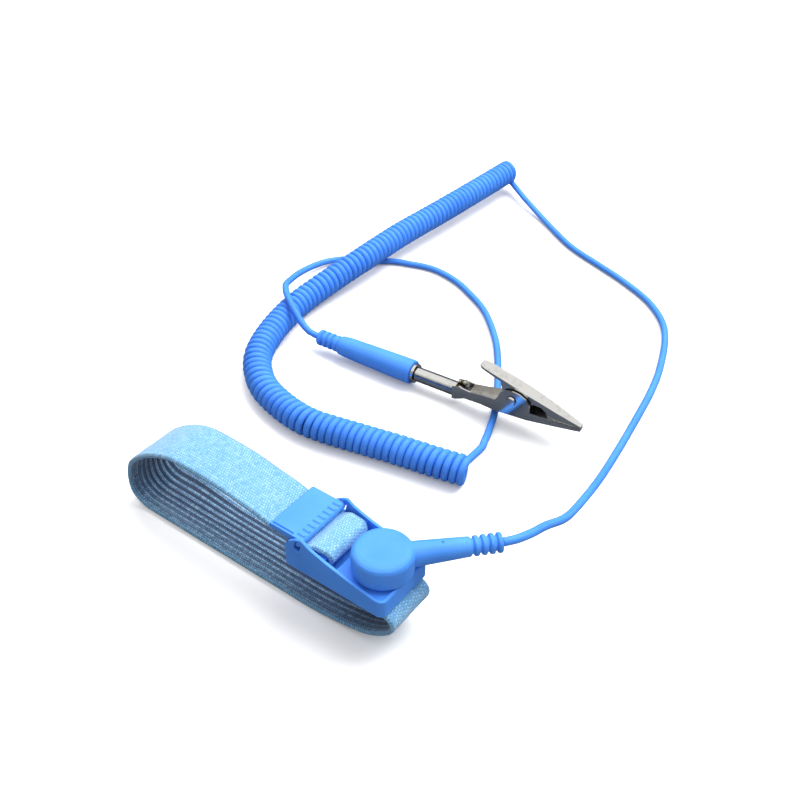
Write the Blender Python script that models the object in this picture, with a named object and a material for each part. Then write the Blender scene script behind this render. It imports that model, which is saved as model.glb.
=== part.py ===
"""ESD wrist strap: an elastic band with a cam buckle, a snap head on a coiled earth cord, and a clip.

Shapes are written in millimetres from the snap stud's axis, with the work surface at zero height.
place() turns them into metres and moves them so that the band's flat underside is at the origin.
"""

import math

import bmesh
import bpy
from mathutils import Matrix, Vector

MM = 0.001
STUD_X = 38.0  # stud axis, from the middle of the band along +X

BAND_HALF_WIDTH = 7.85
BAND_THICKNESS = 1.3
BAND_END_X = -8.0
RIVET_HOLE_R = 1.6

BASE_LEFT, BASE_RIGHT = -24.4, 6.9
BASE_HALF_WIDTH = 9.3
BASE_INNER_HALF = 8.4
BASE_BOTTOM = 14.9
BED_TOP = 21.15
TRAY_FLOOR = 19.6
WINDOW_LEFT, WINDOW_RIGHT, WINDOW_FLOOR = -16.5, -9.2, 17.0

FLAP_PIVOT = (-19.1, 0.0, 24.0)
FLAP_HALF_WIDTH = 8.2
FLAP_LENGTH = 10.1
TRUNNION_R = 0.7

CAP_R = 7.8
CAP_BOTTOM, CAP_TOP = 20.65, 27.4
BOOT_Z = 23.9
BOOT_TURN = math.radians(47)
BOOT_END = 29.3

CORD_R = 1.15
COIL_R = 4.75

PLUG_AT = (-51.7, 83.2, 4.9)
PLUG_TURN = math.radians(4.7)
PLUG_BOOT_LENGTH = 36.8
BARREL_R, BARREL_BORE_R = 2.4, 2.05
JAW_PIVOT = (36.5, 6.1)  # along the plug axis and above it
SHEET = 0.5

BLUE = (0.12, 0.35, 0.85, 1.0)
DEEP_BLUE = (0.08, 0.27, 0.72, 1.0)
FABRIC_BLUE = (0.35, 0.62, 0.88, 1.0)
NICKEL = (0.72, 0.72, 0.7, 1.0)
STEEL = (0.55, 0.56, 0.58, 1.0)
BRASS = (0.75, 0.6, 0.28, 1.0)
TAN = (0.7, 0.55, 0.38, 1.0)

BAND_ROUTE = [
    (-15.5, 20.1), (-14.2, 20.1), (-12.2, 20.1), (-11.14, 20.54), (-10.7, 21.6), (-10.7, 22.1),
    (-11.14, 23.06), (-12.2, 23.5), (-14.0, 23.55), (-15.2, 23.45), (-16.4, 22.85), (-17.6, 22.25),
    (-19.0, 22.1), (-23.0, 22.1), (-27.0, 22.15), (-29.2, 22.5), (-31.2, 23.35), (-34.5, 24.2),
    (-40.0, 25.0), (-47.4, 26.3), (-56.3, 26.75), (-64.0, 26.5), (-69.5, 24.65), (-73.8, 22.35),
    (-78.3, 19.1), (-81.85, 15.5), (-83.55, 11.7), (-84.1, 7.7), (-83.7, 4.4), (-82.0, 2.3),
    (-79.2, 0.95), (-76.0, 0.65), (-70.0, 0.65), (-45.0, 0.65), (-26.0, 0.65), (-20.0, 0.65),
    (-14.0, 1.0), (-7.9, 1.85), (-1.6, 3.2), (2.5, 5.0), (5.9, 7.5), (7.9, 10.0), (7.9, 12.2),
    (6.5, 13.5), (4.4, 13.95), (1.5, 13.95), (-4.0, 13.95), (BAND_END_X, 13.95),
]
BASE_SIDE = [
    (-24.4, 15.6), (-24.4, 20.5), (-23.8, 21.15), (-22.6, 22.4), (-22.0, 23.8), (-19.6, 25.5),
    (-17.9, 26.2), (-15.8, 24.9), (-13.0, 23.9), (-10.2, 23.1), (-6.3, 22.2), (-2.7, 21.4),
    (1.0, 20.75), (4.0, 20.3), (6.5, 20.3), (6.9, 19.9), (6.9, 14.9), (-23.7, 14.9),
]
LEAD_1_ROUTE = [
    (20.19, 21.65, 23.9), (22.0, 24.3, 23.7), (23.3, 29.3, 22.3), (23.4, 37.4, 18.6),
    (24.0, 46.8, 14.0), (22.8, 57.7, 10.0), (20.9, 73.3, 6.5), (18.1, 91.3, 4.0), (14.8, 111.2, 2.5),
    (12.3, 124.9, 1.8), (9.1, 137.4, 1.3), (3.4, 153.0, 1.2), (-2.2, 162.3, 1.2), (-9.5, 169.3, 1.2),
    (-16.5, 173.7, 1.2), (-27.0, 178.4, 1.2), (-37.2, 182.0, 1.2), (-53.5, 188.0, 1.2),
    (-71.0, 198.5, 1.5), (-85.1, 206.1, 3.4), (-93.8, 212.3, 7.0),
]
COIL_ROUTE = [
    (-12.2, 54.8, 4.8), (-20.0, 52.9, 4.8), (-32.7, 50.5, 4.8), (-45.4, 47.6, 4.8), (-58.5, 44.7, 4.8),
    (-65.9, 44.2, 4.8), (-75.4, 45.6, 4.8), (-85.2, 48.9, 4.8), (-93.6, 55.0, 4.8), (-99.0, 61.8, 4.8),
    (-103.2, 71.5, 4.8), (-106.3, 83.2, 4.8), (-107.4, 95.3, 5.2), (-106.2, 110.2, 6.6),
    (-105.0, 124.0, 7.5), (-104.3, 146.2, 7.8), (-102.2, 169.8, 7.9), (-100.3, 195.3, 8.0),
    (-99.1, 215.4, 8.0),
]
LEAD_2_ROUTE = [
    (-13.4, 59.5, 7.0), (-15.2, 67.7, 3.0), (-18.4, 76.3, 1.2), (-21.0, 83.2, 1.2), (-23.8, 89.1, 1.2),
    (-30.8, 101.2, 1.2), (-40.0, 114.9, 1.2), (-47.7, 123.7, 1.2), (-56.6, 131.7, 1.2),
    (-65.7, 136.9, 1.2), (-74.0, 140.7, 1.2), (-82.9, 142.6, 1.2), (-89.1, 142.3, 1.2),
    (-95.2, 140.4, 1.2), (-101.1, 138.2, 1.2), (-108.6, 133.1, 1.2), (-116.8, 128.7, 1.2),
    (-121.2, 120.8, 2.0), (-121.2, 109.2, 4.0), (-117.0, 98.1, 7.6), (-112.5, 90.5, 10.6),
    (-106.8, 85.2, 11.3), (-101.2, 81.8, 10.4), (-96.8, 80.4, 7.4), (-92.8, 79.9, 5.4),
    (-88.73, 80.16, 4.9),
]
FLAP_SIDE = [
    (-0.8, -0.6), (-9.6, -0.6), (-10.1, -0.2), (-10.1, 0.5), (-9.6, 1.0), (0.0, 1.0),
]
LOWER_JAW_SIDE = [
    (15.5, -2.2), (17.0, -2.0), (20.0, -0.6), (24.0, -0.3), (32.0, 0.1), (40.0, 0.7), (48.0, 1.4),
    (58.5, 2.2), (58.5, 2.95), (48.0, 3.75), (42.5, 3.9), (42.5, 6.6), (41.2, 8.2), (39.0, 9.3),
    (36.5, 9.6), (34.2, 9.0), (32.6, 7.6), (31.8, 5.6), (31.0, 4.2), (22.0, 2.7), (18.5, 2.9), (15.5, 2.3),
]
LOWER_JAW_PLAN = [(15.5, 2.4), (20.0, 2.4), (26.0, 2.6), (31.0, 3.2), (42.0, 3.2), (50.0, 2.3), (58.5, 1.1)]
UPPER_JAW_SIDE = [
    (24.3, 14.0), (37.4, 10.6), (47.7, 7.5), (58.5, 3.9), (58.5, 3.3), (48.2, 4.15), (47.4, 5.5),
    (45.9, 6.6), (43.4, 6.8), (41.9, 6.1), (39.2, 4.9), (37.4, 4.5), (35.6, 4.5), (34.2, 5.4),
    (32.8, 7.8), (32.0, 10.9), (27.4, 12.3), (24.3, 13.2),
]
UPPER_JAW_PLAN = [(24.3, 1.1), (25.0, 1.7), (26.5, 2.0), (41.0, 2.3), (50.0, 1.8), (58.5, 0.9)]


# ---- placing and colouring


def material(name, colour, metallic, roughness):
    made = bpy.data.materials.new(name)
    made.use_nodes = True
    shader = made.node_tree.nodes["Principled BSDF"]
    shader.inputs["Base Color"].default_value = colour
    shader.inputs["Metallic"].default_value = metallic
    shader.inputs["Roughness"].default_value = roughness
    made.diffuse_color = colour
    return made


def place(obj, at, turn=0.0):
    obj.location = ((at[0] + STUD_X) * MM, at[1] * MM, at[2] * MM)
    obj.rotation_euler = (0.0, 0.0, turn)


def add(name, bm, look, at=(0.0, 0.0, 0.0), turn=0.0):
    """An object from a mesh in millimetres about its own origin."""
    bmesh.ops.remove_doubles(bm, verts=bm.verts, dist=0.0005)
    bmesh.ops.recalc_face_normals(bm, faces=bm.faces)
    bmesh.ops.transform(bm, matrix=Matrix.Scale(MM, 4), verts=bm.verts)
    mesh = bpy.data.meshes.new(name)
    bm.to_mesh(mesh)
    bm.free()
    obj = bpy.data.objects.new(name, mesh)
    place(obj, at, turn)
    PARTS.objects.link(obj)
    mesh.materials.append(LOOKS[look])
    mesh.shade_smooth()
    mesh.set_sharp_from_angle(angle=math.radians(32))
    return obj


def helper(name, bm, at=(0.0, 0.0, 0.0), turn=0.0):
    """A cutter, kept out of the render."""
    obj = add(name, bm, "blue", at, turn)
    PARTS.objects.unlink(obj)
    CUTTERS.objects.link(obj)
    obj.hide_render = True
    obj.display_type = "WIRE"
    return obj


def boolean(obj, other, operation):
    step = obj.modifiers.new(other.name, "BOOLEAN")
    step.operation = operation
    step.solver = "EXACT"
    step.object = other


# ---- shapes, in millimetres


def prism(outline, near, far):
    """A closed outline of (x, z) points, from y = near to y = far."""
    bm = bmesh.new()
    face = bm.faces.new([bm.verts.new((x, near, z)) for x, z in outline])
    moved = bmesh.ops.extrude_face_region(bm, geom=[face])["geom"]
    corners = [item for item in moved if isinstance(item, bmesh.types.BMVert)]
    bmesh.ops.translate(bm, verts=corners, vec=(0.0, far - near, 0.0))
    bmesh.ops.recalc_face_normals(bm, faces=bm.faces)
    return bm


def slab(outline, low, high):
    """A closed outline of (x, y) points, from z = low to z = high."""
    bm = prism([(x, y) for x, y in outline], low, high)
    for vert in bm.verts:
        vert.co = Vector((vert.co.x, vert.co.z, vert.co.y))
    bmesh.ops.recalc_face_normals(bm, faces=bm.faces)
    return bm


def block(low, high, bm=None):
    bm = bm or bmesh.new()
    middle = Vector([(a + b) / 2 for a, b in zip(low, high)])
    size = [b - a for a, b in zip(low, high)]
    matrix = Matrix.Translation(middle) @ Matrix.Diagonal((*size, 1.0))
    bmesh.ops.create_cube(bm, size=1.0, matrix=matrix)
    return bm


def rod(start, end, radius, end_radius=None, sides=24, bm=None):
    """A capped cylinder or cone between two points."""
    bm = bm or bmesh.new()
    start, end = Vector(start), Vector(end)
    along = end - start
    matrix = Matrix.Translation((start + end) / 2) @ along.to_track_quat("Z", "Y").to_matrix().to_4x4()
    last = radius if end_radius is None else end_radius
    bmesh.ops.create_cone(bm, cap_ends=True, segments=sides, radius1=radius, radius2=last,
                          depth=along.length, matrix=matrix)
    return bm


def turned(profile, sides=32, along_x=False):
    """A (radius, height) profile turned about Z, or about X."""
    bm = bmesh.new()
    verts = [bm.verts.new((r, 0.0, h)) for r, h in profile]
    edges = [bm.edges.new(pair) for pair in zip(verts, verts[1:])]
    if profile[0][0] > 0 and profile[0] != profile[-1]:
        edges.append(bm.edges.new((verts[-1], verts[0])))
    bmesh.ops.spin(bm, geom=verts + edges, axis=(0.0, 0.0, 1.0), cent=(0.0, 0.0, 0.0),
                   steps=sides, angle=2 * math.pi, use_merge=True)
    bmesh.ops.remove_doubles(bm, verts=bm.verts, dist=0.0005)
    if along_x:
        bmesh.ops.rotate(bm, verts=bm.verts, cent=(0, 0, 0), matrix=Matrix.Rotation(math.pi / 2, 3, "Y"))
    bmesh.ops.recalc_face_normals(bm, faces=bm.faces)
    return bm


def smooth(points, step):
    """Points along a Catmull-Rom curve through the given ones, about one per step."""
    points = [Vector(p) for p in points]
    ends = [2 * points[0] - points[1]] + points + [2 * points[-1] - points[-2]]
    found = [points[0]]
    for before, start, stop, after in zip(ends, ends[1:], ends[2:], ends[3:]):
        count = max(1, round((stop - start).length / step))
        for k in range(1, count + 1):
            t = k / count
            found.append(0.5 * (2 * start + (stop - before) * t
                                + (2 * before - 5 * start + 4 * stop - after) * t ** 2
                                + (3 * start - before - 3 * stop + after) * t ** 3))
    return found


def tube(name, points, radius, look, at=(0.0, 0.0, 0.0), turn=0.0, resolution=2):
    curve = bpy.data.curves.new(name, "CURVE")
    curve.dimensions = "3D"
    curve.bevel_depth = radius * MM
    curve.bevel_resolution = resolution
    curve.use_fill_caps = True
    line = curve.splines.new("POLY")
    line.points.add(len(points) - 1)
    for slot, point in zip(line.points, points):
        slot.co = (point[0] * MM, point[1] * MM, point[2] * MM, 1.0)
    curve.materials.append(LOOKS[look])
    obj = bpy.data.objects.new(name, curve)
    place(obj, at, turn)
    PARTS.objects.link(obj)
    return obj


def lying(route, step, lowest):
    """A smooth route kept above the work surface."""
    found = smooth(route, step)
    for point in found:
        point.z = max(point.z, lowest)
    return found


def offset_outline(points, half):
    """The closed outline of a strip that follows the (x, z) points."""
    left, right = [], []
    for i, point in enumerate(points):
        along = points[min(i + 1, len(points) - 1)] - points[max(i - 1, 0)]
        normal = Vector((-along.y, along.x)).normalized() * half
        left.append(tuple(point + normal))
        right.append(tuple(point - normal))
    return left + right[::-1]


def arc(centre, radius, start, stop, steps):
    found = []
    for k in range(steps + 1):
        angle = math.radians(start + (stop - start) * k / steps)
        found.append((centre[0] + radius * math.cos(angle), centre[1] + radius * math.sin(angle)))
    return found


def rounded(x0, x1, half, radius):
    """A rounded rectangle, as (x, y) points."""
    corners = [(x1, half, 0), (x0, half, 90), (x0, -half, 180), (x1, -half, 270)]
    found = []
    for x, y, start in corners:
        centre = (x - math.copysign(radius, x - (x0 + x1) / 2), y - math.copysign(radius, y))
        found += arc(centre, radius, start, start + 90, 4)
    return found


def mirrored(half_plan):
    """A closed plan from its (x, half width) points."""
    return half_plan + [(x, -y) for x, y in reversed(half_plan)]


# ---- wristband


def build_band():
    route = smooth([(x, z) for x, z in BAND_ROUTE], 1.6)
    bm = prism(offset_outline(route, BAND_THICKNESS / 2), -BAND_HALF_WIDTH, BAND_HALF_WIDTH)
    band = add("elastic_band", bm, "fabric")
    boolean(band, helper("band_hole", rod((0, 0, 12.5), (0, 0, 15.5), RIVET_HOLE_R)), "DIFFERENCE")


def build_base():
    base = add("buckle_base", prism(BASE_SIDE, -BASE_HALF_WIDTH, BASE_HALF_WIDTH), "blue")
    plan = rounded(BASE_LEFT, BASE_RIGHT, BASE_HALF_WIDTH, 1.8)
    boolean(base, helper("base_plan", slab(plan, 10.0, 30.0)), "INTERSECT")
    inner = BASE_INNER_HALF
    cuts = {
        "bed_cut": block((-30.0, -inner, BED_TOP), (WINDOW_LEFT, inner, 30.0)),
        "window_cut": block((WINDOW_LEFT - 0.01, -inner, WINDOW_FLOOR), (WINDOW_RIGHT, inner, 30.0)),
        "tray_cut": slab(rounded(WINDOW_RIGHT - 3.0, BASE_RIGHT - 1.0, inner, 1.0), TRAY_FLOOR, 30.0),
        "bed_pocket": block((-22.6, -7.0, 14.0), (-17.9, 7.0, 19.4)),
        "rivet_bore": rod((0, 0, 14.0), (0, 0, 20.0), 1.5),
    }
    for name, bm in cuts.items():
        boolean(base, helper(name, bm), "DIFFERENCE")
    slot = arc(FLAP_PIVOT[::2], TRUNNION_R + 0.25, 0, 180, 8)
    slot += arc((FLAP_PIVOT[0] - 0.35, 22.4), TRUNNION_R + 0.25, 180, 360, 8)
    boolean(base, helper("trunnion_slots", prism(slot, -10.0, 10.0)), "DIFFERENCE")
    bar = [(-12.2, 21.6), (-14.2, 21.6)]
    outline = arc((-12.2, 21.8), 0.6, 0, 90, 4) + arc((-14.2, 21.8), 0.6, 90, 180, 4)
    outline += arc((-14.2, 21.6), 0.6, 180, 270, 4) + arc((-12.2, 21.6), 0.6, 270, 360, 4)
    boolean(base, helper("bar", prism(outline, -inner - 0.3, inner + 0.3)), "UNION")


def build_flap():
    knuckle = arc((0.0, 0.0), 1.0, 90, -143, 14)
    flap = add("clamp_flap", prism(FLAP_SIDE[1:5] + knuckle, -FLAP_HALF_WIDTH, FLAP_HALF_WIDTH), "blue",
               FLAP_PIVOT)
    for side in (-1, 1):
        trunnion = rod((0, side * 7.95, 0), (0, side * 9.2, 0), TRUNNION_R, sides=16)
        boolean(flap, helper("trunnion_%d" % side, trunnion, FLAP_PIVOT), "UNION")
    for k in range(8):
        middle = -5.4 + 1.9 * k - 1.25
        ridge = block((-1.7, middle - 0.35, 0.6), (0.35, middle + 0.35, 1.3))
        boolean(flap, helper("ridge_%d" % k, ridge, FLAP_PIVOT), "UNION")
    slit = block((-9.3, -7.75, 0.55), (-2.6, -7.25, 2.0))
    boolean(flap, helper("flap_slit", slit, FLAP_PIVOT), "DIFFERENCE")


def build_plate_and_stud():
    plate = add("contact_plate", slab(rounded(-12.0, 4.6, 7.0, 1.6), 11.9, 13.0), "steel")
    boolean(plate, helper("plate_hole", rod((0, 0, 11.0), (0, 0, 13.5), RIVET_HOLE_R)), "DIFFERENCE")
    boolean(plate, helper("plate_sink", rod((0, 0, 11.0), (0, 0, 12.55), 3.2)), "DIFFERENCE")
    add("stud_rivet", turned([(0, 12.0), (2.7, 12.0), (2.9, 12.1), (2.9, 12.3), (1.2, 12.3), (1.2, 17.0),
                              (0, 17.0)]), "nickel")
    stud = [(0, 17.3), (1.2, 17.3), (1.2, 19.9), (5.0, 19.9), (5.0, 20.2), (1.9, 20.4), (1.6, 21.0),
            (1.6, 21.9), (2.0, 22.5), (2.0, 23.2), (1.6, 23.7), (0, 23.85)]
    add("snap_stud", turned(stud), "nickel")


# ---- snap head


def along_boot(s, side=0.0, z=BOOT_Z):
    c, d = math.cos(BOOT_TURN), math.sin(BOOT_TURN)
    return (s * c - side * d, s * d + side * c, z)


def ribs(start, count, pitch, width, core, crest):
    """Half a section of grooved strain relief: each groove is cut to the core, then comes a rounded rib."""
    found = []
    for k in range(count):
        rib = start + pitch * (k + 1) - width
        found += [(core, start + pitch * k), (core, rib), (crest - 0.25, rib), (crest, rib + 0.25),
                  (crest, rib + width - 0.25), (crest - 0.25, rib + width)]
    return found


def build_snap_cap():
    outer = [(0, CAP_TOP), (5.6, CAP_TOP - 0.05), (6.6, CAP_TOP - 0.25), (7.3, CAP_TOP - 0.7),
             (7.7, CAP_TOP - 1.4), (CAP_R, CAP_TOP - 2.2), (CAP_R, CAP_BOTTOM + 0.5), (7.5, CAP_BOTTOM),
             (0, CAP_BOTTOM)]
    cap = add("snap_cap", turned(outer, 48), "blue")
    boot = [(0, 4.0), (3.25, 4.0), (3.15, 9.0), (2.85, 15.0), (2.55, 21.0), (2.4, 21.5)]
    boot += ribs(21.5, 4, 1.95, 1.3, 1.9, 2.6) + [(0, BOOT_END)]
    cap_boot = helper("cap_boot", turned(boot, 28, True), (0, 0, BOOT_Z), BOOT_TURN)
    boolean(cap, cap_boot, "UNION")
    hollow = turned([(0, 19.0), (5.7, 19.0), (5.7, 25.2), (0, 25.2)], 40)
    boolean(cap, helper("cap_hollow", hollow), "DIFFERENCE")
    bore = rod((3.0, 0, BOOT_Z), (21.6, 0, BOOT_Z), 1.6, 1.35, 20)
    boolean(cap, helper("boot_bore", bore, turn=BOOT_TURN), "DIFFERENCE")
    dimple = rod((14.5, 0, BOOT_Z + 2.35), (14.5, 0, BOOT_Z + 4.0), 0.35, sides=12)
    boolean(cap, helper("mould_dimple", dimple, turn=BOOT_TURN), "DIFFERENCE")


def build_snap_inside():
    socket = [(2.3, 20.95), (5.3, 20.95), (5.4, 21.4), (5.4, 24.6), (2.3, 24.6), (2.3, 23.2),
              (2.85, 23.0), (2.85, 22.0), (2.3, 21.8)]
    add("snap_socket", turned(socket + socket[:1]), "nickel")
    ring = [(2.43 + 0.24 * math.cos(a), 22.5 + 0.24 * math.sin(a))
            for a in [2 * math.pi * k / 8 for k in range(8)]]
    add("ring_spring", turned(ring + ring[:1]), "brass")
    add("resistor", turned([(0, 9.2), (0.8, 9.2), (1.15, 9.5), (1.15, 10.4), (1.0, 10.7), (1.0, 14.0),
                            (1.15, 14.3), (1.15, 15.2), (0.8, 15.5), (0, 15.5)], 16, True),
        "tan", (0, 0, BOOT_Z), BOOT_TURN)
    add("resistor_lead_inner", rod((5.75, 0, BOOT_Z), (8.9, 0, BOOT_Z), 0.3, sides=10), "nickel",
        turn=BOOT_TURN)
    add("resistor_lead_outer", rod((15.8, 0, BOOT_Z), (17.6, 0, BOOT_Z), 0.3, sides=10), "nickel",
        turn=BOOT_TURN)
    add("crimp_sleeve", rod((17.9, 0, BOOT_Z), (21.2, 0, BOOT_Z), 0.9, sides=16), "nickel",
        turn=BOOT_TURN)


# ---- cord


def build_cord():
    tube("lead_1", lying(LEAD_1_ROUTE, 6.0, 1.2), CORD_R, "blue")
    tube("coil", lying(COIL_ROUTE, 10.0, 4.8), COIL_R, "deep", resolution=4)
    tube("lead_2", lying(LEAD_2_ROUTE, 6.0, 1.2), CORD_R, "blue")


def build_plug():
    length = PLUG_BOOT_LENGTH
    outer = [(0, -length)] + ribs(-length - 0.7, 4, 2.1, 1.4, 1.9, 2.75)[2:]
    outer += [(1.9, -length + 8.4), (2.9, -length + 8.4), (3.2, -length + 8.8), (3.5, -length + 12.0),
              (3.9, -8.0), (4.0, -0.4), (3.8, 0.0), (0, 0.0)]
    boot = add("banana_boot", turned(outer, 32, True), "blue", PLUG_AT, PLUG_TURN)
    bore = rod((-12.6, 0, 0), (1.0, 0, 0), 2.2)
    boolean(boot, helper("plug_bore", bore, PLUG_AT, PLUG_TURN), "DIFFERENCE")
    core = [(0, -12.2), (1.9, -12.2), (1.9, 0.3), (3.2, 0.3), (3.2, 1.2), (1.55, 1.2), (1.55, 2.0),
            (1.1, 2.2), (1.1, 16.6), (1.5, 16.8), (1.5, 17.6), (0.9, 18.3), (0, 18.4)]
    add("banana_pin", turned(core, 24, True), "nickel", PLUG_AT, PLUG_TURN)
    leaf = [(1.4, 2.6), (1.65, 2.6), (1.8, 6.0), (1.8, 12.0), (1.65, 16.4), (1.4, 16.4), (1.5, 12.0),
            (1.5, 6.0), (1.4, 2.6)]
    leaves = add("banana_leaves", turned(leaf, 24, True), "brass", PLUG_AT, PLUG_TURN)
    for k in range(2):
        cut = block((4.0, -3.0, -0.3), (15.0, 3.0, 0.3))
        bmesh.ops.rotate(cut, verts=cut.verts, matrix=Matrix.Rotation(math.pi / 2 * k, 3, "X"))
        boolean(leaves, helper("leaf_slots_%d" % k, cut, PLUG_AT, PLUG_TURN), "DIFFERENCE")


# ---- clip


def folded(name, side, plan, floor_up, look, at, shift):
    """A folded sheet channel: a side outline crossed with a plan, less the same shape one sheet in."""
    obj = add(name, prism([(x - shift[0], z - shift[1]) for x, z in side], -6.0, 6.0), look, at, PLUG_TURN)
    outline = mirrored([(x - shift[0], y) for x, y in plan])
    boolean(obj, helper(name + "_plan", slab(outline, -20.0, 20.0), at, PLUG_TURN), "INTERSECT")
    inner = [(x, y - SHEET) for x, y in plan]
    inner[-1] = (inner[-1][0] - SHEET, inner[-1][1])
    hollow = helper(name + "_hollow", slab(mirrored([(x - shift[0], y) for x, y in inner]), -20.0, 20.0),
                    at, PLUG_TURN)
    cut_side = [(x - shift[0], z - shift[1]) for x, z in floor_up]
    keep = helper(name + "_cut_side", prism(cut_side, -8.0, 8.0), at, PLUG_TURN)
    boolean(hollow, keep, "INTERSECT")
    boolean(obj, hollow, "DIFFERENCE")
    return obj


def clip_point(s, w):
    c, d = math.cos(PLUG_TURN), math.sin(PLUG_TURN)
    return (PLUG_AT[0] + s * c, PLUG_AT[1] + s * d, PLUG_AT[2] + w)


def build_lower_jaw():
    floor = [(x, z + SHEET) for x, z in LOWER_JAW_SIDE[:8]]
    floor[0] = (14.0, floor[0][1])
    floor[-1] = (60.0, floor[-1][1] + 0.1)
    jaw = folded("clip_lower_jaw", LOWER_JAW_SIDE, LOWER_JAW_PLAN, floor + [(60.0, 15.0), (14.0, 15.0)],
                 "nickel", PLUG_AT, (0.0, 0.0))
    barrel = turned([(BARREL_R, 1.6), (BARREL_R, 16.2), (BARREL_BORE_R, 16.2), (BARREL_BORE_R, 1.6),
                     (BARREL_R, 1.6)], 32, True)
    boolean(jaw, helper("barrel", barrel, PLUG_AT, PLUG_TURN), "UNION")
    boolean(jaw, helper("barrel_bore", rod((1.0, 0, 0), (18.6, 0, 0), BARREL_BORE_R, sides=32), PLUG_AT,
                        PLUG_TURN), "DIFFERENCE")
    s, w = JAW_PIVOT
    boolean(jaw, helper("lower_pin_hole", rod((s, -6, w), (s, 6, w), 1.1), PLUG_AT, PLUG_TURN),
            "DIFFERENCE")
    for k in range(6):
        x = 48.6 + 1.5 * k
        top = 3.75 - (x + 0.7 - 48.0) * 0.076
        tooth = prism([(x, top - 0.45), (x + 0.35, top + 0.3), (x + 0.8, top + 0.3)], -6.0, 6.0)
        boolean(jaw, helper("lower_tooth_%d" % k, tooth, PLUG_AT, PLUG_TURN), "DIFFERENCE")


def build_upper_jaw():
    s, w = JAW_PIVOT
    back = [(x, z - SHEET) for x, z in UPPER_JAW_SIDE[:4]]
    back[0] = (23.0, back[0][1] + 0.35)
    back[-1] = (60.0, back[-1][1] - 0.6)
    jaw = folded("clip_upper_jaw", UPPER_JAW_SIDE, UPPER_JAW_PLAN, back + [(60.0, -5.0), (23.0, -5.0)],
                 "nickel", clip_point(s, w), (s, w))
    hole = rod((0, -6, 0), (0, 6, 0), 1.1)
    boolean(jaw, helper("upper_pin_hole", hole, clip_point(s, w), PLUG_TURN), "DIFFERENCE")


def build_clip_pin_and_spring():
    s, w = JAW_PIVOT
    pin = rod((0, -3.55, 0), (0, 3.55, 0), 0.8)
    obj = add("clip_pin", pin, "nickel", clip_point(s, w), PLUG_TURN)
    for side in (-1, 1):
        head = rod((0, side * 3.5, 0), (0, side * 4.0, 0), 1.6, 1.3)
        boolean(obj, helper("pin_head_%d" % side, head, clip_point(s, w), PLUG_TURN), "UNION")
    points = [(-5.2, -1.1, -4.2), (-3.4, -1.1, -2.4)]
    turns, per_turn = 3, 12
    for k in range(turns * per_turn + 1):
        angle = math.pi * 1.25 - 2 * math.pi * k / per_turn
        side = -1.1 + 2.2 * k / (turns * per_turn)
        points.append((1.75 * math.cos(angle), side, 1.75 * math.sin(angle)))
    points.append((-2.2, 1.1, 0.3))
    points.append((-3.0, 1.1, 1.1))
    tube("clip_spring", points, 0.28, "steel", clip_point(s, w), PLUG_TURN)


for old in list(bpy.data.objects):
    bpy.data.objects.remove(old)
PARTS = bpy.data.collections.new("esd_wrist_strap")
CUTTERS = bpy.data.collections.new("cutters")
for group in (PARTS, CUTTERS):
    bpy.context.scene.collection.children.link(group)
LOOKS = {
    "blue": material("blue_plastic", BLUE, 0.0, 0.4),
    "deep": material("coil_plastic", DEEP_BLUE, 0.0, 0.4),
    "fabric": material("knitted_fabric", FABRIC_BLUE, 0.0, 0.9),
    "nickel": material("nickel_plate", NICKEL, 1.0, 0.25),
    "steel": material("stainless_steel", STEEL, 1.0, 0.35),
    "brass": material("spring_brass", BRASS, 1.0, 0.3),
    "tan": material("resistor_body", TAN, 0.0, 0.5),
}
build_band()
build_base()
build_flap()
build_plate_and_stud()
build_snap_cap()
build_snap_inside()
build_cord()
build_plug()
build_lower_jaw()
build_upper_jaw()
build_clip_pin_and_spring()
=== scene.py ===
"""ESD wrist strap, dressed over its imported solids."""

import math

import bmesh
import bpy
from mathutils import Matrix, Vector, noise


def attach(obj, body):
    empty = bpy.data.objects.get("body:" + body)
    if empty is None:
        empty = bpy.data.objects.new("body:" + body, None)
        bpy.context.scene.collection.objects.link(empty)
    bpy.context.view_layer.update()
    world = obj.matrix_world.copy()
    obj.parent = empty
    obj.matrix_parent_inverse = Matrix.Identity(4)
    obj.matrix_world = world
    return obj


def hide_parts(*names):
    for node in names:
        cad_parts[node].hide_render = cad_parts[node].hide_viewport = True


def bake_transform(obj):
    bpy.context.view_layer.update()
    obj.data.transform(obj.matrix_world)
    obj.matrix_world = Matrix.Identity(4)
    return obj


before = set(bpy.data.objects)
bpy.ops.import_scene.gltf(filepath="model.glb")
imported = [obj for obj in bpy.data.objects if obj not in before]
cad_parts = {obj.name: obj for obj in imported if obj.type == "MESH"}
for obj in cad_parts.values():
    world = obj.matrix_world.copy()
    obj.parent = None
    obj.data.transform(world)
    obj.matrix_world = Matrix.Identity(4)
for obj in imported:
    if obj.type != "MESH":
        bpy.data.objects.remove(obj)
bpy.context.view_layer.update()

MM = 0.001
SHARP_ANGLE = math.radians(60)

# Sizes and routes are in millimetres from the stud's axis, which stands STUD_X along the frame's x.
STUD_X = 38.0

CORD_R = 1.15
CORD_SIDES = 10
CORD_STEP = 2.0
CORD_REST = 1.2  # height of the cord's middle where it lies on the surface

COIL_R = 4.75
TURN_PITCH = 2.32  # a little over the cord's width, so that the turns touch without cutting
TURN_STEPS = 20  # points in each turn
INNER_SHARE = 0.92  # where the turns touch on a bend, as a share of the winding's radius
BEND_REACH = 4  # steps each way over which a bend is measured
UNEVEN_ALONG, UNEVEN_OUT = 0.12, 0.06  # how far single turns stray

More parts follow.
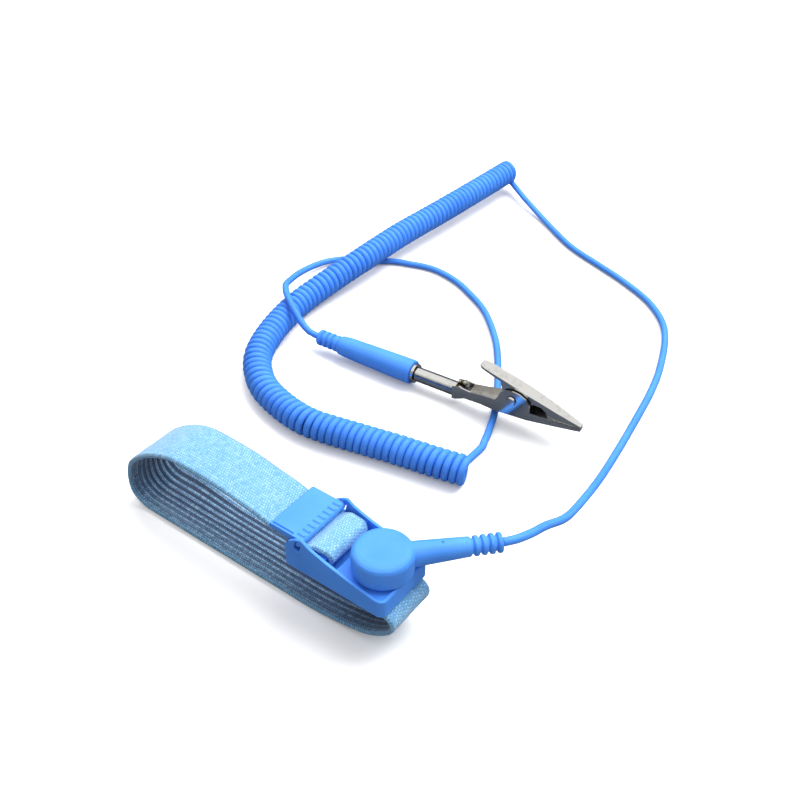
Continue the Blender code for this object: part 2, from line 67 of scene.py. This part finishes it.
BAND_HALF_WIDTH, BAND_THICKNESS = 7.85, 1.3
BAND_STEP = 0.55
BAND_COLUMNS = 36
EDGE_COLUMNS = 5
STRIPE_PITCH = 1.72
RIB_HEIGHT = 0.05
WANDER = 0.10
PINCH_LENGTH, PINCH_DEPTH, PINCH_ONSET = 13.0, 0.75, 1.6
# The lower strand's lift and the upper strand's droop: how much, round which x, and from which z.
LOWER_LIFT, LOWER_AT, LOWER_Z = 3.2, -74, 12
UPPER_DROOP, UPPER_AT, UPPER_Z = 0.6, -57, 15
LIFT_SPREAD, LIFT_RISE = 14, 8
OUTER, INNER, EDGE = 0, 1, 2  # sides of the band, in the order of its materials
BAND_ROUTE = [
    (-15.5, 20.1), (-14.2, 20.1), (-12.2, 20.1), (-11.14, 20.54), (-10.7, 21.6), (-10.7, 22.1),
    (-11.14, 23.06), (-12.2, 23.5), (-14.0, 23.55), (-15.2, 23.45), (-16.4, 22.85), (-17.6, 22.25),
    (-19.0, 22.1), (-23.0, 22.1), (-27.0, 22.15), (-29.2, 22.5), (-31.2, 23.35), (-34.5, 24.2),
    (-40.0, 25.0), (-47.4, 26.3), (-56.3, 26.75), (-64.0, 26.5), (-69.5, 24.65), (-73.8, 22.35),
    (-78.3, 19.1), (-81.85, 15.5), (-83.55, 11.7), (-84.1, 7.7), (-83.7, 4.4), (-82.0, 2.3),
    (-79.2, 0.95), (-76.0, 0.65), (-70.0, 0.65), (-45.0, 0.65), (-26.0, 0.65), (-20.0, 0.65),
    (-14.0, 1.0), (-7.9, 1.85), (-1.6, 3.2), (2.5, 5.0), (5.9, 7.5), (7.9, 10.0), (7.9, 12.2),
    (6.5, 13.5), (4.4, 13.95), (1.5, 13.95), (-4.0, 13.95), (-8.0, 13.95),
]
LEAD_1_ROUTE = [
    (20.19, 21.65, 23.9), (22.0, 24.3, 23.7), (23.3, 29.3, 22.3), (23.4, 37.4, 18.6),
    (24.0, 46.8, 14.0), (22.8, 57.7, 10.0), (20.9, 73.3, 6.5), (18.1, 91.3, 4.0), (14.8, 111.2, 2.5),
    (12.3, 124.9, 1.8), (9.1, 137.4, 1.3), (3.4, 153.0, 1.2), (-2.2, 162.3, 1.2), (-9.5, 169.3, 1.2),
    (-16.5, 173.7, 1.2), (-27.0, 178.4, 1.2), (-37.2, 182.0, 1.2), (-53.5, 188.0, 1.2),
    (-71.0, 198.5, 1.5), (-85.1, 206.1, 3.4),
]
# Listed from the end nearer the band. The cord runs through it the other way.
COIL_ROUTE = [
    (-12.2, 54.8, 4.8), (-20.0, 52.9, 4.8), (-32.7, 50.5, 4.8), (-45.4, 47.6, 4.8), (-58.5, 44.7, 4.8),
    (-65.9, 44.2, 4.8), (-75.4, 45.6, 4.8), (-85.2, 48.9, 4.8), (-93.6, 55.0, 4.8), (-99.0, 61.8, 4.8),
    (-103.2, 71.5, 4.8), (-106.3, 83.2, 4.8), (-107.4, 95.3, 5.2), (-106.2, 110.2, 6.6),
    (-105.0, 124.0, 7.5), (-104.3, 146.2, 7.8), (-102.2, 169.8, 7.9), (-100.3, 195.3, 8.0),
    (-99.1, 215.4, 8.0),
]
LEAD_2_ROUTE = [
    (-15.2, 67.7, 3.0), (-18.4, 76.3, 1.2), (-21.0, 83.2, 1.2), (-23.8, 89.1, 1.2),
    (-30.8, 101.2, 1.2), (-40.0, 114.9, 1.2), (-47.7, 123.7, 1.2), (-56.6, 131.7, 1.2),
    (-65.7, 136.9, 1.2), (-74.0, 140.7, 1.2), (-82.9, 142.6, 1.2), (-89.1, 142.3, 1.2),
    (-95.2, 140.4, 1.2), (-101.1, 138.2, 1.2), (-108.6, 133.1, 1.2), (-116.8, 128.7, 1.2),
    (-121.2, 120.8, 2.0), (-121.2, 109.2, 4.0), (-117.0, 98.1, 7.6), (-112.5, 90.5, 10.6),
    (-106.8, 85.2, 11.3), (-101.2, 81.8, 10.4), (-96.8, 80.4, 7.4), (-92.8, 79.9, 5.4),
    (-88.73, 80.16, 4.9),
]


# ---- small tools


def at(point):
    """A point in millimetres from the stud's axis, in metres in the shared frame."""
    return Vector(((point[0] + STUD_X) * MM, point[1] * MM, point[2] * MM))


def smooth(points, step):
    """Points along a Catmull-Rom curve through the given ones, about one per step."""
    points = [Vector(p) for p in points]
    ends = [2 * points[0] - points[1]] + points + [2 * points[-1] - points[-2]]
    found = [points[0]]
    for before, start, stop, after in zip(ends, ends[1:], ends[2:], ends[3:]):
        count = max(1, round((stop - start).length / step))
        for k in range(1, count + 1):
            t = k / count
            found.append(0.5 * (2 * start + (stop - before) * t
                                + (2 * before - 5 * start + 4 * stop - after) * t ** 2
                                + (3 * start - before - 3 * stop + after) * t ** 3))
    return found


def lying(route):
    """A lead's route, kept on or above the surface."""
    found = smooth(route, CORD_STEP)
    for point in found:
        point.z = max(point.z, CORD_REST)
    return found


def tangents_of(points):
    """The line's direction at each point."""
    last = len(points) - 1
    return [(points[min(i + 1, last)] - points[max(i - 1, 0)]).normalized() for i in range(last + 1)]


def lengths_of(points):
    """How far along the line each point is."""
    found = [0.0]
    for before, point in zip(points, points[1:]):
        found.append(found[-1] + (point - before).length)
    return found


def piece(name, bm, looks, body):
    """A mesh in metres, riding on a body unless that is left to the caller."""
    mesh = bpy.data.meshes.new(name)
    bm.to_mesh(mesh)
    bm.free()
    for look in looks if isinstance(looks, list) else [looks]:
        mesh.materials.append(look)
    mesh.shade_smooth()
    mesh.set_sharp_from_angle(angle=SHARP_ANGLE)
    obj = bpy.data.objects.new(name, mesh)
    bpy.context.scene.collection.objects.link(obj)
    if body:
        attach(obj, body)
    return obj


def tube_mesh(points, radius, sides):
    """A tube round a line of points, with rings that don't twist, closed flat at both ends."""
    bm = bmesh.new()
    uv = bm.loops.layers.uv.new("UVMap")
    tangents, lengths = tangents_of(points), lengths_of(points)
    turns = [2 * math.pi * k / sides for k in range(sides)]
    normal = tangents[0].orthogonal().normalized()
    rings = []
    for point, tangent in zip(points, tangents):
        normal = (normal - tangent * normal.dot(tangent)).normalized()
        side = tangent.cross(normal)
        rings.append([bm.verts.new(point + radius * (math.cos(a) * normal + math.sin(a) * side))
                      for a in turns])
    for i, (first, second) in enumerate(zip(rings, rings[1:])):
        for k in range(sides):
            n = (k + 1) % sides
            face = bm.faces.new((first[k], first[n], second[n], second[k]))
            spots = ((k, i), (k + 1, i), (k + 1, i + 1), (k, i + 1))
            for loop, (a, b) in zip(face.loops, spots):
                loop[uv].uv = (a / sides, lengths[b])
    bm.faces.new(rings[0][::-1])
    bm.faces.new(rings[-1])
    return bm


# ---- materials


class Nodes:
    """A short way to write a node tree."""

    def __init__(self, name):
        self.material = bpy.data.materials.new(name)
        self.material.use_nodes = True
        self.tree = self.material.node_tree
        self.shader = self.tree.nodes["Principled BSDF"]

    def add(self, kind, **settings):
        node = self.tree.nodes.new("ShaderNode" + kind)
        for key, value in settings.items():
            setattr(node, key, value)
        return node

    def put(self, socket, value):
        if isinstance(value, bpy.types.NodeSocket):
            self.tree.links.new(value, socket)
        elif value is not None:
            socket.default_value = value

    def coords(self, kind="Object"):
        return self.add("TexCoord").outputs[kind]

    def noise(self, vector, scale, detail=2.0, roughness=0.5):
        node = self.add("TexNoise")
        self.put(node.inputs["Vector"], vector)
        self.put(node.inputs["Scale"], scale)
        self.put(node.inputs["Detail"], detail)
        self.put(node.inputs["Roughness"], roughness)
        return node.outputs["Fac"]

    def math(self, operation, a, b=None, c=None):
        node = self.add("Math", operation=operation)
        for socket, value in zip(node.inputs, (a, b, c)):
            self.put(socket, value)
        return node.outputs[0]

    def ramp(self, value, low, high, to_low=0.0, to_high=1.0, kind="LINEAR"):
        node = self.add("MapRange", interpolation_type=kind)
        for key, given in (("Value", value), ("From Min", low), ("From Max", high),
                           ("To Min", to_low), ("To Max", to_high)):
            self.put(node.inputs[key], given)
        return node.outputs["Result"]

    def mix(self, share, first, second):
        node = self.add("Mix", data_type="RGBA")
        self.put(node.inputs["Factor"], share)
        self.put(node.inputs[6], first)
        self.put(node.inputs[7], second)
        return node.outputs[2]

    def bump(self, height, strength, distance, normal=None):
        node = self.add("Bump")
        self.put(node.inputs["Strength"], strength)
        self.put(node.inputs["Distance"], distance)
        self.put(node.inputs["Height"], height)
        self.put(node.inputs["Normal"], normal)
        return node.outputs["Normal"]

    def split(self, vector):
        node = self.add("SeparateXYZ")
        self.put(node.inputs[0], vector)
        return node.outputs

    def join(self, x, y, z=0.0):
        node = self.add("CombineXYZ")
        for socket, value in zip(node.inputs, (x, y, z)):
            self.put(socket, value)
        return node.outputs[0]

    def stretched(self, vector, along, across):
        """Flat coordinates with each direction scaled by its own number."""
        x, y, _ = self.split(vector)
        return self.join(self.math("MULTIPLY", x, along), self.math("MULTIPLY", y, across))

    def set(self, **numbers):
        """Constants on the shader's own sockets: Sheen_Weight stands for Sheen Weight."""
        for key, number in numbers.items():
            self.shader.inputs[key.replace("_", " ")].default_value = number

    def waxy(self, depth):
        """The faint inner glow of soft blue plastic."""
        self.set(Subsurface_Weight=0.12, Subsurface_Radius=(0.35, 0.7, 1.0), Subsurface_Scale=depth)


def plastic(name, colour, dark, roughness):
    """Moulded soft plastic: faint mottling, fine grain, small handling scuffs."""
    n = Nodes(name)
    where = n.coords()
    cloud = n.noise(where, 90.0, 3.0)
    n.put(n.shader.inputs["Base Color"], n.mix(n.ramp(cloud, 0.3, 0.72), colour, dark))
    grain = n.noise(where, 5200.0, 2.0)
    smear = n.noise(where, 260.0, 4.0, 0.6)
    smudges = n.ramp(smear, 0.35, 0.7, roughness - 0.05, roughness + 0.1)
    n.put(n.shader.inputs["Roughness"], n.math("ADD", smudges, n.ramp(grain, 0.3, 0.7, -0.03, 0.03)))
    waves = n.bump(n.noise(where, 420.0, 2.0), 0.12, 0.0002)
    n.put(n.shader.inputs["Normal"], n.bump(grain, 0.1, 0.00003, waves))
    n.set(Specular_IOR_Level=0.42)
    n.waxy(0.0012)
    return n.material


def metal(name, colour, dark, roughness, brushed=0.0):
    """Plated or rolled metal: fine drawn lines and dull patches."""
    n = Nodes(name)
    where = n.coords()
    stretch = n.add("Mapping")
    n.put(stretch.inputs["Vector"], where)
    stretch.inputs["Scale"].default_value = (60.0, 2600.0, 2600.0)
    lines = n.noise(stretch.outputs[0], 1.0, 3.0)
    patch = n.noise(where, 320.0, 4.0, 0.62)
    n.put(n.shader.inputs["Base Color"], n.mix(n.ramp(patch, 0.5, 0.95), colour, dark))
    dull = n.ramp(patch, 0.4, 0.8, roughness, roughness + 0.06)
    drawn = n.ramp(lines, 0.3, 0.7, 0.0, 0.06 + brushed)
    n.put(n.shader.inputs["Roughness"], n.math("ADD", dull, drawn))
    n.put(n.shader.inputs["Normal"], n.bump(lines, 0.06 + brushed, 0.00003))
    n.set(Metallic=1.0)
    return n.material


def cord_material():
    """Extruded jacket: satin, with faint lengthwise streaks. UVs are turns round it and metres along."""
    n = Nodes("cord_jacket")
    streak = n.noise(n.stretched(n.coords("UV"), 9.0, 14.0), 1.0, 3.0)
    cloud = n.noise(n.coords(), 70.0, 3.0)
    shade = n.mix(n.ramp(cloud, 0.3, 0.7), (0.080, 0.315, 0.960, 1), (0.062, 0.260, 0.860, 1))
    paler = n.mix(n.ramp(streak, 0.55, 0.8, 0.0, 0.35), shade, (0.12, 0.39, 1.0, 1))
    n.put(n.shader.inputs["Base Color"], paler)
    n.put(n.shader.inputs["Roughness"], n.ramp(streak, 0.3, 0.7, 0.3, 0.42))
    n.put(n.shader.inputs["Normal"], n.bump(n.noise(n.coords(), 2600.0, 2.0), 0.1, 0.00003))
    n.waxy(0.001)
    return n.material


def knit(name, yarn, valley_shade_and_speck, speck, stripe=None, stripe_share=0.0):
    """Knitted elastic: interlocked loops with painted shade darker between them, and a dark stripe over
    a share of each
    STRIPE_PITCH. UVs are metres: x along the band, y across it."""
    n = Nodes(name)
    where = n.coords("UV")
    x, y, _ = n.split(where)
    course, wale = 0.00070, 0.00078
    drift = n.noise(n.stretched(where, 700.0, 700.0), 1.0, 2.0)
    shift = n.ramp(drift, 0.2, 0.8, -0.35, 0.35)
    row = n.math("ADD", n.math("DIVIDE", y, wale), n.math("MULTIPLY", shift, 0.5))
    even = n.math("MODULO", n.math("FLOOR", row), 2.0)
    along = n.math("ADD", n.math("DIVIDE", x, course), n.math("MULTIPLY", even, 0.5))
    along = n.math("ADD", along, shift)
    u = n.math("SUBTRACT", n.math("FRACT", along), 0.5)
    v = n.math("SUBTRACT", n.math("FRACT", row), 0.5)
    lean = n.math("ADD", u, n.math("MULTIPLY", n.math("ABSOLUTE", v), 0.7))
    loop = n.math("ADD", n.math("MULTIPLY", n.math("MULTIPLY", lean, lean), 1.5),
                  n.math("MULTIPLY", n.math("MULTIPLY", v, v), 0.7))
    height = n.ramp(loop, 0.26, 0.01, kind="SMOOTHSTEP")
    picked = n.add("TexWhiteNoise", noise_dimensions="3D")
    n.put(picked.inputs["Vector"], n.join(n.math("FLOOR", along), n.math("FLOOR", row)))
    tone = picked.outputs["Value"]
    fibre = n.noise(n.stretched(where, 9000.0, 2400.0), 1.0, 3.0)
    # Painted shade: the colour darkens to the valley colour between the loops, where shade falls; the
    # same colour also darkens the random specks below.
    base = n.mix(height, valley_shade_and_speck, yarn)
    base = n.mix(n.ramp(tone, 1.0 - speck, 1.0, 0.0, 0.7), base, valley_shade_and_speck)
    base = n.mix(n.ramp(tone, 0.4, 0.0, 0.0, 0.16), base, (0.62, 0.85, 0.97, 1))
    base = n.mix(n.ramp(fibre, 0.45, 0.8, 0.0, 0.22), base, (0.75, 0.9, 1.0, 1))
    if stripe:
        wave = n.math("FRACT", n.math("DIVIDE", y, STRIPE_PITCH * MM))
        off_centre = n.math("ABSOLUTE", n.math("SUBTRACT", wave, 0.5))
        dark = n.ramp(off_centre, stripe_share * 0.5, stripe_share * 0.5 + 0.12, 0.9, 0.0)
        across = n.math("ADD", y, n.math("MULTIPLY", drift, 0.004))
        fade = n.ramp(across, -0.0062, 0.0012, 0.3, 1.0, "SMOOTHSTEP")
        base = n.mix(n.math("MULTIPLY", dark, fade), base, stripe)
    n.put(n.shader.inputs["Base Color"], base)
    n.set(Roughness=0.88, Sheen_Weight=0.35, Sheen_Roughness=0.5, Specular_IOR_Level=0.25)
    fuzz = n.bump(fibre, 0.25, 0.00005)
    n.put(n.shader.inputs["Normal"], n.bump(height, 0.6, 0.00016, fuzz))
    return n.material


BLUE = plastic("moulded_blue", (0.088, 0.335, 0.965, 1), (0.070, 0.285, 0.880, 1), 0.36)
CORD = cord_material()
# The second colour of each knit is the painted shade between its loops, also used for its dark specks.
OUTER_KNIT = knit("outer_knit", (0.275, 0.575, 0.89, 1), (0.11, 0.33, 0.58, 1), 0.3)
INNER_KNIT = knit("inner_knit", (0.20, 0.38, 0.60, 1), (0.04, 0.10, 0.20, 1), 0.34,
                  (0.014, 0.028, 0.07, 1), 0.42)
SELVEDGE = knit("selvedge", (0.20, 0.48, 0.74, 1), (0.07, 0.2, 0.36, 1), 0.1)
NICKEL = metal("bright_nickel", (0.76, 0.75, 0.72, 1), (0.5, 0.49, 0.47, 1), 0.12)
STEEL = metal("brushed_steel", (0.62, 0.62, 0.63, 1), (0.45, 0.45, 0.46, 1), 0.26, 0.08)
BRASS = metal("spring_brass", (0.83, 0.66, 0.31, 1), (0.55, 0.4, 0.18, 1), 0.2)
TAN = plastic("resistor_lacquer", (0.62, 0.45, 0.26, 1), (0.52, 0.36, 0.2, 1), 0.45)


# ---- camera, light and floor


LENS = 47.8
CAMERA_AT = (107.2, -136.5, 213.0)
CAMERA_AIM = (-0.4655, 0.6223, -0.6293)

# Each lamp's place and size in metres, and its power in watts. All of them face LAMPS_AIM.
LAMPS = [((0.2, 0.6, 1.0), 0.9, 17.3), ((-0.7, 0.5, 0.85), 0.5, 3.6), ((0.85, -0.1, 0.9), 0.5, 0.8)]
LAMPS_AIM = (0, 0.08, 0)

FLOOR_SIZE = 3.0
FLOOR_Z = -0.00005


def facing(obj, direction):
    """Turns a camera or a lamp to look along a direction."""
    obj.rotation_mode = "QUATERNION"
    obj.rotation_quaternion = direction.to_track_quat("-Z", "Y")


def build_camera():
    cam = bpy.data.cameras.new("camera")
    cam.sensor_width = 36.0
    cam.lens = LENS
    cam.clip_start, cam.clip_end = 0.01, 20.0
    eye = bpy.data.objects.new("camera", cam)
    bpy.context.scene.collection.objects.link(eye)
    eye.location = at(CAMERA_AT)
    facing(eye, Vector(CAMERA_AIM))
    bpy.context.scene.camera = eye
    bpy.context.scene.view_settings.view_transform = "Standard"


def build_world():
    """A studio that is dark below and white above in reflections, and pale behind the object."""
    world = bpy.data.worlds.new("studio")
    world.use_nodes = True
    tree = world.node_tree
    back = tree.nodes["Background"]
    coord = tree.nodes.new("ShaderNodeTexCoord")
    split = tree.nodes.new("ShaderNodeSeparateXYZ")
    tree.links.new(coord.outputs["Generated"], split.inputs[0])
    ramp = tree.nodes.new("ShaderNodeValToRGB")
    low, high = ramp.color_ramp.elements
    low.position, low.color = 0.0, (0.02, 0.022, 0.028, 1)
    high.position, high.color = 0.66, (1.0, 1.0, 1.0, 1)
    ramp.color_ramp.elements.new(0.42).color = (0.10, 0.11, 0.13, 1)
    tree.links.new(split.outputs["Z"], ramp.inputs["Fac"])
    wall = tree.nodes.new("ShaderNodeMix")
    wall.data_type = "RGBA"
    rays = tree.nodes.new("ShaderNodeLightPath")
    tree.links.new(rays.outputs["Is Camera Ray"], wall.inputs["Factor"])
    tree.links.new(ramp.outputs["Color"], wall.inputs[6])
    wall.inputs[7].default_value = (0.97, 0.975, 0.985, 1)
    tree.links.new(wall.outputs[2], back.inputs["Color"])
    back.inputs["Strength"].default_value = 1.0
    bpy.context.scene.world = world


def build_lamps():
    for k, (where, size, power) in enumerate(LAMPS):
        light = bpy.data.lights.new("softbox_%d" % k, "AREA")
        light.size = size
        light.energy = power
        lamp = bpy.data.objects.new("softbox_%d" % k, light)
        lamp.location = where
        lamp.visible_glossy = False
        facing(lamp, Vector(LAMPS_AIM) - Vector(where))
        bpy.context.scene.collection.objects.link(lamp)


def build_floor():
    """A floor that is pale to the camera, and darker in bounced light and in reflections."""
    floor = bpy.data.meshes.new("floor")
    bm = bmesh.new()
    bmesh.ops.create_grid(bm, x_segments=1, y_segments=1, size=FLOOR_SIZE)
    bm.to_mesh(floor)
    bm.free()
    obj = bpy.data.objects.new("floor", floor)
    obj.location.z = FLOOR_Z
    n = Nodes("pale_floor")
    soft = n.noise(n.coords(), 6.0, 2.0)
    pale = n.mix(n.ramp(soft, 0.3, 0.7), (0.94, 0.94, 0.94, 1), (0.92, 0.92, 0.93, 1))
    rays = n.add("LightPath").outputs
    bounced = n.mix(rays["Is Diffuse Ray"], (0.07, 0.08, 0.10, 1), (0.36, 0.37, 0.39, 1))
    n.put(n.shader.inputs["Base Color"], n.mix(rays["Is Camera Ray"], bounced, pale))
    n.put(n.shader.inputs["Emission Strength"], n.math("MULTIPLY", rays["Is Camera Ray"], 0.16))
    n.set(Emission_Color=(1, 1, 1, 1), Roughness=0.9, Specular_IOR_Level=0.0)
    floor.materials.append(n.material)
    bpy.context.scene.collection.objects.link(obj)


# ---- cord


def helix_points(route):
    """The winding along a route: it starts at the bottom of its turns and ends at the top.
    Turns lie wire to wire on the inside of each bend, so they open on the outside."""
    centre = smooth(route, 1.0)
    last = len(centre) - 1
    radius = COIL_R - CORD_R
    tangents, lengths = tangents_of(centre), lengths_of(centre)
    turned = [0.0]
    for i in range(1, last + 1):
        a, b = max(i - BEND_REACH, 0), min(i + BEND_REACH, last)
        bend = tangents[a].angle(tangents[b]) / (lengths[b] - lengths[a])
        step = lengths[i] - lengths[i - 1]
        turned.append(turned[-1] + step * (1 - INNER_SHARE * radius * bend))
    whole = round(turned[-1] / TURN_PITCH - 0.5) + 0.5
    angles = [t / turned[-1] * whole * 2 * math.pi for t in turned]
    found = []
    steps = int(whole * TURN_STEPS)
    i = 0
    for k in range(steps + 1):
        angle = whole * 2 * math.pi * k / steps
        while i < last - 1 and angles[i + 1] < angle:
            i += 1
        t = (angle - angles[i]) / (angles[i + 1] - angles[i])
        point = centre[i].lerp(centre[i + 1], t)
        tangent = tangents[i].lerp(tangents[i + 1], t).normalized()
        right = tangent.cross(Vector((0, 0, 1))).normalized()
        up = right.cross(tangent)
        stray = UNEVEN_ALONG * noise.noise(Vector((angle * 0.21, 3.1, 0.0)))
        reach = radius + UNEVEN_OUT * noise.noise(Vector((angle * 0.13, 0.4, 7.0)))
        outward = math.sin(angle) * right - math.cos(angle) * up
        found.append(point + tangent * stray + reach * outward)
    return found


def build_cord():
    """The whole cord as one piece: lead, winding and lead. It also gives its line and its length."""
    first = lying(LEAD_1_ROUTE)
    winding = helix_points(COIL_ROUTE[::-1])
    last = lying(LEAD_2_ROUTE)
    join_1 = smooth([first[-2], first[-1], winding[0], winding[1]], 1.0)
    join_2 = smooth([winding[-2], winding[-1], last[0], last[1]], 1.0)
    route = first[:-2] + join_1 + winding[2:-2] + join_2 + last[2:]
    points = [at(p) for p in route]
    cord = piece("cord", tube_mesh(points, CORD_R * MM, CORD_SIDES), CORD, None)
    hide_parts("lead_1", "coil", "lead_2")
    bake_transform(cord)
    return cord, points, lengths_of(points)[-1]


# ---- wrist band


def band_section(half, thick):
    """Corners of the band's section, each as (across, up, side), with half-round edges."""
    edge = thick / 2
    flat = [(half - edge) * (-1 + 2 * k / BAND_COLUMNS) for k in range(BAND_COLUMNS + 1)]
    arc = [math.pi / 2 - math.pi * k / EDGE_COLUMNS for k in range(1, EDGE_COLUMNS)]
    return ([(y, edge, OUTER) for y in flat]
            + [(half - edge + edge * math.cos(a), edge * math.sin(a), EDGE) for a in arc]
            + [(y, -edge, INNER) for y in reversed(flat)]
            + [(edge - half - edge * math.cos(a), -edge * math.sin(a), EDGE) for a in arc])


def near(x, centre):
    """1 at the centre of a lift, and fading away from it along the band."""
    return math.exp(-((x - centre) / LIFT_SPREAD) ** 2)


def eased(distance):
    """0 up to a strand's z, then rising to 1 over LIFT_RISE."""
    return min(1.0, max(0.0, distance / LIFT_RISE)) ** 2


def build_band():
    """Knitted elastic swept along its route. The cloth narrows where the bar and the flap pinch it, the
    far edge of its lower strand lifts, the near edge of its upper strand droops, and it has low ribs."""
    route = smooth([(x, 0.0, z) for x, z in BAND_ROUTE], BAND_STEP)
    tangents, lengths = tangents_of(route), lengths_of(route)
    bm = bmesh.new()
    uv = bm.loops.layers.uv.new("UVMap")
    rings = []
    for point, tangent, here in zip(route, tangents, lengths):
        up = Vector((0, 1, 0)).cross(tangent)
        pinch = max(0.0, 1 - here / PINCH_LENGTH)
        half = BAND_HALF_WIDTH - PINCH_DEPTH * min(1.0, pinch * PINCH_ONSET)
        lift = LOWER_LIFT * near(point.x, LOWER_AT) * eased(LOWER_Z - point.z)
        droop = UPPER_DROOP * near(point.x, UPPER_AT) * eased(point.z - UPPER_Z)
        ring = []
        for across, rise, kind in band_section(half, BAND_THICKNESS):
            share = across / half
            bend = -lift * max(0.0, 0.25 + 0.75 * share) ** 2 - droop * max(0.0, -share) ** 2
            wander = WANDER * noise.noise(Vector((here * 0.11, share * 1.3, kind * 3.0)))
            rib = 0.0 if kind == EDGE else RIB_HEIGHT * math.cos(2 * math.pi * across / STRIPE_PITCH)
            reach = rise + math.copysign(rib, rise) + wander
            spot = Vector((point.x, across, point.z)) + up * (reach + bend)
            ring.append(bm.verts.new(at(spot)))
        rings.append(ring)
    section = band_section(BAND_HALF_WIDTH, BAND_THICKNESS)
    around = len(section)
    for i, (first, second) in enumerate(zip(rings, rings[1:])):
        for k in range(around):
            n = (k + 1) % around
            kinds = (section[k][2], section[n][2])
            face = bm.faces.new((first[k], second[k], second[n], first[n]))
            face.material_index = kinds[0] if kinds[0] == kinds[1] else EDGE
            for loop, (a, b) in zip(face.loops, ((k, i), (k, i + 1), (n, i + 1), (n, i))):
                across, rise, kind = section[a]
                loop[uv].uv = (lengths[b] * MM, (across + rise if kind == EDGE else across) * MM)
    bm.faces.new(rings[0]).material_index = EDGE
    bm.faces.new(rings[-1][::-1]).material_index = EDGE
    bmesh.ops.recalc_face_normals(bm, faces=bm.faces)
    band = piece("wrist_band", bm, [OUTER_KNIT, INNER_KNIT, SELVEDGE], "wristband")
    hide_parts("elastic_band")


# ---- moulded parts


def moulded(name, node, body, voxel, rounds):
    """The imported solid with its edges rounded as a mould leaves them: remeshed, then smoothed."""
    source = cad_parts[node]
    bm = bmesh.new()
    bm.from_mesh(source.data)
    bmesh.ops.remove_doubles(bm, verts=bm.verts, dist=1e-7)
    obj = piece(name, bm, BLUE, None)
    remesh = obj.modifiers.new("remesh", "REMESH")
    remesh.mode = "VOXEL"
    remesh.voxel_size = voxel * MM
    remesh.use_smooth_shade = True
    soften = obj.modifiers.new("soften", "SMOOTH")
    soften.factor = 0.5
    soften.iterations = rounds
    graph = bpy.context.evaluated_depsgraph_get()
    mesh = bpy.data.meshes.new_from_object(obj.evaluated_get(graph))
    obj.modifiers.clear()
    obj.data = mesh
    mesh.shade_smooth()
    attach(obj, body)
    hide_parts(node)


build_camera()
build_world()
build_lamps()
build_floor()
CABLE, CABLE_POINTS, CABLE_LENGTH = build_cord()
build_band()
moulded("buckle_frame", "buckle_base", "wristband", 0.16, 4)
moulded("buckle_flap", "clamp_flap", "flap", 0.13, 3)
moulded("snap_button", "snap_cap", "snap_head", 0.17, 5)
moulded("plug_sleeve", "banana_boot", "cord", 0.18, 4)

NODE_LOOKS = {
    "contact_plate": STEEL, "stud_rivet": NICKEL, "snap_stud": NICKEL, "snap_socket": NICKEL,
    "ring_spring": BRASS, "resistor": TAN, "resistor_lead_inner": NICKEL, "resistor_lead_outer": NICKEL,
    "crimp_sleeve": NICKEL, "banana_pin": NICKEL, "banana_leaves": BRASS, "clip_lower_jaw": NICKEL,
    "clip_upper_jaw": NICKEL, "clip_pin": NICKEL, "clip_spring": STEEL,
}
for name, look in NODE_LOOKS.items():
    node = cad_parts[name]
    for slot in node.material_slots:
        slot.material = look
